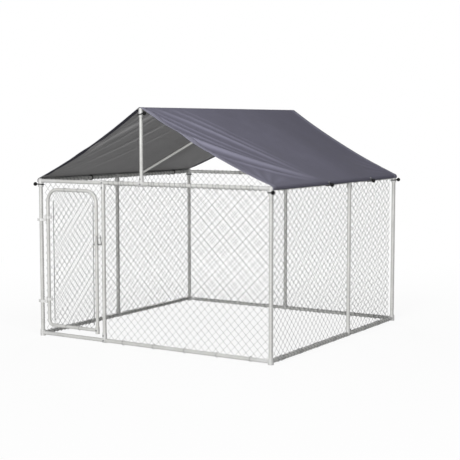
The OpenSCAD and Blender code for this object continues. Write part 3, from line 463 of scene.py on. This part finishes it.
def zigzag(width, height, phase, m):
    steps = max(2, round(height / (m["tall"] / 2)))
    rise = height / steps
    out = width / 2 + m["wire"] * m["hook"]
    path = []
    for i in range(steps):
        s = 1 if (i + phase) % 2 == 0 else -1
        path.append((-s * out, 0.0, i * rise))
        path.append((-s * out * m["straight"], s * m["bow"], (i + m["bend"]) * rise))
        path.append((s * out * m["straight"], s * m["bow"], (i + 1 - m["bend"]) * rise))
    path.append((s * out, 0.0, height))
    first = -1 if phase % 2 == 0 else 1
    turn, end = m["wire"] * m["knuckleTurn"], m["knuckleEnd"]
    inner, outer, flat = out - m["knuckleIn"], out + m["knuckleOut"], turn * m["knuckleFlat"]
    low = [(first * inner, -turn, end), (first * outer, -flat, -end)]
    high = [(s * outer, flat, height + end), (s * inner, turn, height - end)]
    return low + path + high


def chainLink(m):
    count = max(1, round((m["right"] - m["left"]) / (m["cell"] / 2)))
    step = (m["right"] - m["left"]) / count
    pair = [tube(zigzag(step, m["high"] - m["low"], k, m), m["wire"] / 2, m["sides"]) for k in (0, 1)]
    wires = []
    for i in range(count):
        v, f = pair[(i + m["phase"]) % 2]
        wires.append((v + np.array([m["left"] + (i + 0.5) * step, m["plane"], m["low"]]), f))
    return gather(wires)


for wall, roll in rolls.items():
    v, f = chainLink(roll)
    piece = newPiece(wall + "ChainLink", onWall(v, wall), f, ["wire"], "frame")
    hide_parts(wall + "_netting")
print("wall mesh woven")

v, f = chainLink(gateRoll)
piece = newPiece("gateChainLink", onWall(v, "front"), f, ["wire"], "gate")
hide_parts("gate_netting")
print("gate mesh woven")


# lacing wire wound round the rails and the edge of the mesh, clear of fittings
railLacing = dict(wire=0.0034, radius=0.0172, inward=0.0012, sides=5, perTurn=10, turns=3, cell=0.130,
                  reach=0.963, frontStart=-0.364, gap=0.024, kingGap=0.038, endGap=0.030)
lacedRails = [("right", "Foot"), ("back", "Foot"), ("left", "Foot"),
              ("front", "Head"), ("right", "Head"), ("back", "Head"), ("left", "Head")]


def laceStops(wall, top, c):
    stops = [(postAt[wall], c["gap"])]
    if top and wall in ("front", "back"):
        stops.append((-run["jointOff"], c["kingGap"]))
    elif top:
        stops += [(x, c["gap"]) for x in (*bungeeAt[wall], rafterAt[wall])]
    return stops


def laceSpans(wall, top, c):
    start = c["frontStart"] if wall == "front" else -c["reach"]
    count = max(1, round((c["reach"] - start) / c["cell"]))
    pitch = (c["reach"] - start) / count / c["turns"]
    stops = laceStops(wall, top, c)
    total = count * c["turns"]
    spans, first = [], None
    for i in range(total + 1):
        x = start + i * pitch
        nearEnd = abs(x) > run["axisX"] - c["endGap"]
        free = not nearEnd and all(abs(x - at) > gap for at, gap in stops)
        crossed = first is not None and any(start + (i - 1) * pitch < at < x for at, _ in stops)
        if first is not None and (not free or crossed):
            if i - 1 > first:
                spans.append((first, i - 1))
            first = None
        if free and first is None:
            first = i
    if first is not None and total > first:
        spans.append((first, total))
    return [(start + a * pitch, start + b * pitch, b - a) for a, b in spans]


def laced(low, high, turns, z, c):
    n = turns * c["perTurn"]
    path = []
    for i in range(n + 1):
        a = 2 * math.pi * turns * i / n
        x = low + (high - low) * i / n
        path.append((x, c["inward"] + c["radius"] * math.cos(a), z + c["radius"] * math.sin(a)))
    return tube(path, c["wire"] / 2, c["sides"])


for wall, end in lacedRails:
    top = end == "Head"
    z = run["topZ"] if top else run["railZ"]
    v, f = gather([laced(a, b, n, z, railLacing) for a, b, n in laceSpans(wall, top, railLacing)])
    newPiece(wall + end + "Lacing", onWall(v, wall), f, ["wire"], "frame")
print("rails laced")

postLacing = dict(wire=0.00272, radius=0.0163, inward=0.0006, sides=5, perTurn=8, pitch=0.0195,
                  low=0.092, high=1.084, hingeGap=0.030, latchGap=0.040)


def postSpans(low, high, stops):
    spans, at = [], low
    for z, gap in sorted(stops):
        spans.append((at, z - gap))
        at = z + gap
    return spans + [(at, high)]


def lacedPost(x, y, lean, stops, c):  # lean: the way to the mesh that the wire also catches
    coils = []
    for low, high in postSpans(c["low"], c["high"], stops):
        turns = round((high - low) / c["pitch"])
        n = turns * c["perTurn"]
        path = []
        for i in range(n + 1):
            a = 2 * math.pi * turns * i / n
            path.append((x + c["inward"] * lean[0] + c["radius"] * math.cos(a),
                         y + c["inward"] * lean[1] + c["radius"] * math.sin(a),
                         low + (high - low) * i / n))
        coils.append(tube(path, c["wire"] / 2, c["sides"]))
    return coils


ax, ay = run["axisX"], run["axisY"]
hingeStops = [(z, postLacing["hingeGap"]) for z in run["hingeZ"]]
latchStops = [(run["latchZ"], postLacing["latchGap"])]
lacedPosts = [(ax, -ay, (-1, 1), []), (ax, ay, (-1, -1), []), (-ax, ay, (1, -1), []),
              (-ax, -ay, (0, 1), hingeStops), (postAt["front"], -ay, (1, 0), latchStops),
              (-ax, -postAt["left"], (0, 1), [])]
v, f = gather([coil for place in lacedPosts for coil in lacedPost(*place, postLacing)])
# post lacing in the paler zinc: painted highlight
newPiece("postLacing", v, f, ["laceHighlight"], "frame")
print("posts laced")


# roof cover: one sheet from eave hem to eave hem
coverSet = dict(eaveR=0.0203, ridgeR=0.0168, thick=0.0010, reach=1.000, length=1.11, drop=0.009,
                sag=0.026, bay=0.25, eaveHold=0.06, ridgeHold=0.05, sway=0.0008, swayWaves=21.0, foldHighlightAt=0.010,
                dropSteps=3, bandSteps=8, slopeSteps=92, ridgeSteps=6, rows=164)
ripples = [dict(tall=0.0020, shift=3.1, up=4.0, across=3.2, layer=0.7),
           dict(tall=0.0007, shift=7.3, up=19.0, across=15.0, layer=3.1)]
foldSet = dict(points=140, taperFrom=0.07, taperSpan=0.90, taperPower=0.8)
# folds drawn from the eave bungee to the peak: three points as (behind the front edge, down from the ridge),
# half width, height
foldsRight = [((-0.04, 0.24), (0.22, 0.64), (0.72, 1.08), 0.040, 0.0170),
              ((0.10, -0.02), (0.48, 0.43), (0.70, 1.02), 0.026, 0.0095),
              ((0.26, -0.02), (0.54, 0.32), (0.76, 0.92), 0.022, 0.0060),
              ((0.00, 0.60), (0.34, 0.93), (0.66, 1.09), 0.018, 0.0080),
              ((0.02, 0.00), (0.14, 0.32), (0.42, 0.72), 0.016, 0.0080),
              ((0.05, -0.02), (0.32, 0.44), (0.66, 0.99), 0.014, 0.0060),
              ((0.40, -0.02), (0.60, 0.24), (0.80, 0.70), 0.016, 0.0030)]
foldsLeft = [((0.28, -0.02), (0.18, 0.22), (-0.02, 0.72), 0.030, 0.0140),
             ((0.55, 0.10), (0.44, 0.41), (0.28, 0.74), 0.018, 0.0075),
             ((0.52, 0.20), (0.40, 0.50), (0.22, 0.92), 0.016, 0.0070),
             ((0.34, 0.00), (0.26, 0.34), (0.10, 0.82), 0.014, 0.0065),
             ((0.12, 0.00), (0.10, 0.40), (0.06, 0.98), 0.016, 0.0060),
             ((0.70, 0.30), (0.58, 0.62), (0.40, 1.00), 0.020, 0.0045)]
# pulls that fan out from the four corners: angle and half width in degrees, height
cornerPulls = [(16.0, 4.0, 0.0030), (34.0, 4.5, 0.0040), (53.0, 4.5, 0.0035), (72.0, 4.0, 0.0025)]
pullSet = dict(inset=0.006, growFrom=0.03, growTo=0.12, fadeFrom=0.18, fadeTo=0.48)


def slopeRun(x):
    return run["axisX"] - run["jointOff"] * x / run["axisY"]


def slopeAngle(x, c):
    rise = run["ridgeZ"] - run["topZ"]
    d = slopeRun(x)
    return math.atan2(rise, d) + math.asin((c["ridgeR"] - c["eaveR"]) / math.hypot(d, rise))


def slackAt(y, c):  # none over the rafters
    return 1 - bell(y - run["rafterY"], c["bay"])


def heldAt(t, c):  # flat where the cloth meets the eave and the ridge
    return easeIn(t, 0.0, c["eaveHold"]) * easeIn(1 - t, 0.0, c["ridgeHold"])


def foldLines(folds, c):  # points along each fold, the taper there, half widths and heights
    k = np.linspace(0, 1, c["points"])[:, None]
    lines = []
    for fold in folds:
        first, mid, last = (np.array(point) for point in fold[:3])
        bend = 2 * mid - (first + last) / 2  # the curve passes through its middle point
        lines.append(first * (1 - k) ** 2 + 2 * bend * k * (1 - k) + last * k ** 2)
    taper = np.sin(math.pi * (k[:, 0] * c["taperSpan"] + c["taperFrom"])) ** c["taperPower"]
    widths, heights = np.array([fold[3:] for fold in folds]).T
    return np.array(lines), taper, widths[:, None], heights


foldSides = {1: foldLines(foldsRight, foldSet), -1: foldLines(foldsLeft, foldSet)}


def foldHeight(s, t, y, c):
    lines, taper, widths, heights = foldSides[s]
    away = np.hypot(lines[:, :, 0] - y - c["reach"], lines[:, :, 1] - (1 - t) * c["length"])
    h = float((heights * (taper * np.exp(-(away / widths) ** 2)).max(axis=1)).sum())
    for end in (-1, 1):
        up, along = t * c["length"], c["reach"] - end * y
        spoke = math.degrees(math.atan2(up, along + pullSet["inset"]))
        away = math.hypot(up, along)
        near = easeIn(away, pullSet["growFrom"], pullSet["growTo"])
        near *= 1 - easeIn(away, pullSet["fadeFrom"], pullSet["fadeTo"])
        for at, width, tall in cornerPulls:
            h += tall * near * bell(spoke - at, width)
    return h * heldAt(t, c) * slackAt(y, c)


def coverRise(s, t, y, c):  # height of the cloth over the straight line from eave to ridge
    slack, held = slackAt(y, c), heldAt(t, c)
    h = foldHeight(s, t, y, c) - c["sag"] * slack * 4 * t * (1 - t)
    for r in ripples:
        spot = Vector((s * r["shift"] + t * r["up"], y * r["across"], r["layer"]))
        h += r["tall"] * slack * held * noise.noise(spot)
    return h


# s: 1 on the right slope, -1 on the left; k: how far up the part, from 0 to 1
def coverPoint(s, part, k, y, off, c):
    angle = slopeAngle(s * y, c)
    n = Vector((s * math.sin(angle), math.cos(angle)))
    eave = Vector((s * run["axisX"], run["topZ"]))
    ridge = Vector((s * (run["axisX"] - slopeRun(s * y)), run["ridgeZ"]))
    if part == "drop":
        sway = c["sway"] * (1 - k) * math.sin(y * c["swayWaves"] + s)
        p = eave + Vector((s * (c["eaveR"] + off + max(0.0, sway)), -c["drop"] * (1 - k)))
    elif part == "band":
        a = (math.pi / 2 - angle) * k
        p = eave + (c["eaveR"] + off) * Vector((s * math.cos(a), math.sin(a)))
    elif part == "slope":
        r = c["eaveR"] * (1 - k) + c["ridgeR"] * k
        p = eave * (1 - k) + ridge * k + n * (r + off + coverRise(s, k, y, c))
    else:
        a = math.pi / 2 - angle + angle * k
        p = ridge + (c["ridgeR"] + off) * Vector((s * math.cos(a), math.sin(a)))
    return (p.x, y, p.y)


def stations(c):
    half = []
    for part in ("drop", "band", "slope", "ridge"):
        n = c[part + "Steps"]
        half += [(part, i / n) for i in range(n)]
    return [(-1, p, k) for p, k in half] + [(1, "ridge", 1.0)] + [(1, p, k) for p, k in reversed(half)]


def sheetMesh(rowsAt, columns, offLow, offHigh, c):  # closed sheet; kinds: 1 for a face of the underside
    rows, cols = len(rowsAt), len(columns)
    verts = []
    for off in (offHigh, offLow):
        verts += [coverPoint(s, part, k, y, off, c) for y in rowsAt for s, part, k in columns]
    faces, kinds = [], []

    def top(i, j):
        return j * cols + i

    def low(i, j):
        return rows * cols + j * cols + i

    for j in range(rows - 1):
        for i in range(cols - 1):
            faces.append((top(i, j), top(i + 1, j), top(i + 1, j + 1), top(i, j + 1)))
            faces.append((low(i, j), low(i, j + 1), low(i + 1, j + 1), low(i + 1, j)))
            kinds += [0, 1]
    for j in range(rows - 1):
        faces.append((top(0, j), top(0, j + 1), low(0, j + 1), low(0, j)))
        faces.append((top(cols - 1, j + 1), top(cols - 1, j), low(cols - 1, j), low(cols - 1, j + 1)))
        kinds += [0, 0]
    for i in range(cols - 1):
        faces.append((top(i + 1, 0), top(i, 0), low(i, 0), low(i + 1, 0)))
        faces.append((top(i, rows - 1), top(i + 1, rows - 1), low(i + 1, rows - 1), low(i, rows - 1)))
        kinds += [0, 0]
    return verts, faces, kinds


# strength of the painted highlight on the folds, full once a fold stands as high as the set value
def foldHighlightAt(s, part, k, y, c):
    return min(1.0, foldHeight(s, k, y, c) / c["foldHighlightAt"]) if part == "slope" else 0.0


columns = stations(coverSet)
reach = coverSet["reach"]
rowsAt = [-reach + 2 * reach * j / coverSet["rows"] for j in range(coverSet["rows"] + 1)]
v, f, kinds = sheetMesh(rowsAt, columns, 0.0, coverSet["thick"], coverSet)
roofCover = newPiece("roofCover", v, f, ["cover", "liningGlow"], "frame", kinds)
# painted highlight along the folds, read by the cloth colour
foldHighlights = [foldHighlightAt(s, part, k, y, coverSet) for y in rowsAt for s, part, k in columns]
roofCover.data.attributes.new("foldHighlight", "FLOAT", "POINT").data.foreach_set("value", foldHighlights * 2)
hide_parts("roof_cover", "eave_band_right", "eave_band_left")
print("roof cover hung")

# hems: the turned and sewn edges, with a row of stitches
hemSet = dict(width=0.046, rows=4, lift=0.0005, inset=0.041, clearEave=0.05, clearRidge=0.02,
              stitch=0.0045, step=0.0085, thread=0.0004, threadSides=4, dropSeam=0.85)
over = coverSet["thick"] + hemSet["lift"]
for label, edge in (("front", -1), ("back", 1)):
    at = sorted(edge * (reach - hemSet["width"] * j / hemSet["rows"]) for j in range(hemSet["rows"] + 1))
    v, f, _ = sheetMesh(at, columns, coverSet["thick"], over, coverSet)
    newPiece(label + "Hem", v, f, ["hem"], "frame")

    # dark strip under the edge, along the slopes: painted shade of the hem's underside
    under = [q for q in columns if q[1] == "slope" and hemSet["clearEave"] < q[2] < 1 - hemSet["clearRidge"]]
    for side, sideName in ((-1, "Left"), (1, "Right")):
        strip = [q for q in under if q[0] == side]
        v, f, _ = sheetMesh(at, strip, -hemSet["lift"], 0.0, coverSet)
        newPiece(label + "Binding" + sideName, v, f, ["underHemShade"], "frame")


def dashes(line, h):
    line = np.asarray(line)
    gone = np.concatenate([[0.0], np.cumsum(np.linalg.norm(np.diff(line, axis=0), axis=1))])
    parts = []
    for k in range(int(gone[-1] / h["step"])):
        start = k * h["step"]
        marks = (start, start + h["stitch"] / 2, start + h["stitch"])
        path = [[np.interp(mark, gone, line[:, i]) for i in range(3)] for mark in marks]
        parts.append(tube(path, h["thread"], h["threadSides"]))
    return parts


seams = []
inner = [q for q in columns if q[1] != "ridge"]
for y in (-reach + hemSet["inset"], reach - hemSet["inset"]):
    for side in (-1, 1):
        line = [coverPoint(s, part, k, y, over, coverSet) for s, part, k in inner if s == side]
        seams += dashes(line, hemSet)
for side in (-1, 1):
    seams += dashes([coverPoint(side, "drop", hemSet["dropSeam"], y, over, coverSet) for y in rowsAt], hemSet)
v, f = gather(seams)
stitches = newPiece("hemStitches", v, f, ["thread"], "frame")
print("hems sewn")


# bungees: elastic loop round the tube and a moulded ball
bungeeSet = dict(cord=0.0036, sides=9, ribs=0.10, twist=1.1,
                 arcPoints=32, legPoints=8, legFrom=0.12, sunk=0.9,
                 eaveLoop=0.0174, eaveReach=0.046, eaveDeg=-14, cornerLoop=0.0236, cornerTilt=0.06,
                 peakLoop=0.0200, peakTilt=0.25, peakDeg=-20, reach=0.040, drop=0.024)
ballSet = dict(radius=0.0148, rings=26, sides=32, seam=0.0004, seamWidth=0.05, mouth=0.0016, mouthWidth=0.10)


def loopPath(r, far, tilt, c):  # tilt: how much the loop drops away from its ball
    half = math.acos(r / far)
    bends = np.linspace(half, 2 * math.pi - half, c["arcPoints"])
    arc = [(r * math.cos(a), r * math.sin(a), 0.0) for a in bends]
    legs = []
    for s in (1, -1):
        t = np.array([r * math.cos(half), s * r * math.sin(half), 0.0])
        end = np.array([far, 0.0, 0.0])
        span = np.linalg.norm(end - t)
        stop = span - ballSet["radius"] * c["sunk"]
        shares = np.linspace(1, c["legFrom"], c["legPoints"])
        legs.append([tuple(t + (end - t) / span * stop * share) for share in shares])
    return [(x, y, tilt * (x - far)) for x, y, _ in legs[0] + arc + legs[1][::-1]]


def ballMesh(b):
    rings, sides = b["rings"], b["sides"]
    body = b["radius"] - b["seam"]
    verts, faces = [], []
    for i in range(1, rings):
        lat = math.pi * i / rings - math.pi / 2
        for j in range(sides):
            lon = 2 * math.pi * j / sides
            x, y, z = math.cos(lat) * math.cos(lon), math.cos(lat) * math.sin(lon), math.sin(lat)
            seam = b["seam"] * bell(lat, b["seamWidth"])  # mould line
            mouth = b["mouth"] * bell(x + 1, b["mouthWidth"])  # hollow where the cord goes in
            q = body + seam - mouth
            verts.append((q * x, q * y, q * z))
    foot, head, last = len(verts), len(verts) + 1, (rings - 2) * sides
    verts += [(0.0, 0.0, -body), (0.0, 0.0, body)]
    for j in range(sides):
        k = (j + 1) % sides
        for i in range(rings - 2):
            faces.append((i * sides + j, i * sides + k, (i + 1) * sides + k, (i + 1) * sides + j))
        faces += [(foot, k, j), (last + j, last + k, head)]
    return np.array(verts), faces


def turned(points, angle, axis):
    c, s = math.cos(angle), math.sin(angle)
    p = np.asarray(points, float)
    x, y, z = p[:, 0], p[:, 1], p[:, 2]
    if axis == "z":
        return np.stack([x * c - y * s, x * s + y * c, z], 1)
    return np.stack([x, y * c - z * s, y * s + z * c], 1)


def eavePlace(points, wall, x):
    p = turned(points, math.radians(bungeeSet["eaveDeg"]), "z")
    p = turned(turned(p, math.pi / 2, "x"), -math.pi / 2, "z")
    return onWall(p + np.array([x, 0.0, run["topZ"]]), wall)


def cornerPlace(points, sx, sy):
    p = turned(points, math.atan2(sy, sx), "z")
    return p + np.array([sx * run["axisX"], sy * run["axisY"], run["topZ"] - bungeeSet["drop"]])


def peakPlace(points, wall):
    p = turned(points, math.radians(bungeeSet["peakDeg"]), "z")
    return onWall(p + np.array([-run["jointOff"], 0.0, run["ridgeZ"] - bungeeSet["drop"]]), wall)


spots = [(eavePlace, (wall, x), bungeeSet["eaveLoop"], bungeeSet["eaveReach"], 0.0)
         for wall, places in bungeeAt.items() for x in places]
spots += [(cornerPlace, corner, bungeeSet["cornerLoop"], bungeeSet["reach"], bungeeSet["cornerTilt"])
          for corner in ((-1, -1), (1, -1), (1, 1), (-1, 1))]
spots += [(peakPlace, (wall,), bungeeSet["peakLoop"], bungeeSet["reach"], bungeeSet["peakTilt"])
          for wall in ("front", "back")]
cords, balls = [], []
for place, where, loop, far, tilt in spots:
    path = loopPath(loop, far, tilt, bungeeSet)
    v, f = tube(path, bungeeSet["cord"], bungeeSet["sides"], bungeeSet["ribs"], bungeeSet["twist"])
    cords.append((place(v, *where), f))
    v, f = ballMesh(ballSet)
    balls.append((place(v + np.array([far, 0.0, 0.0]), *where), f))
v, f = gather(cords)
piece = newPiece("bungeeCords", v, f, ["elastic"], "frame")
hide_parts("bungee_loops")
v, f = gather(balls)
piece = newPiece("bungeeBalls", v, f, ["ball"], "frame")
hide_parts("bungee_balls")
print("bungees tied")
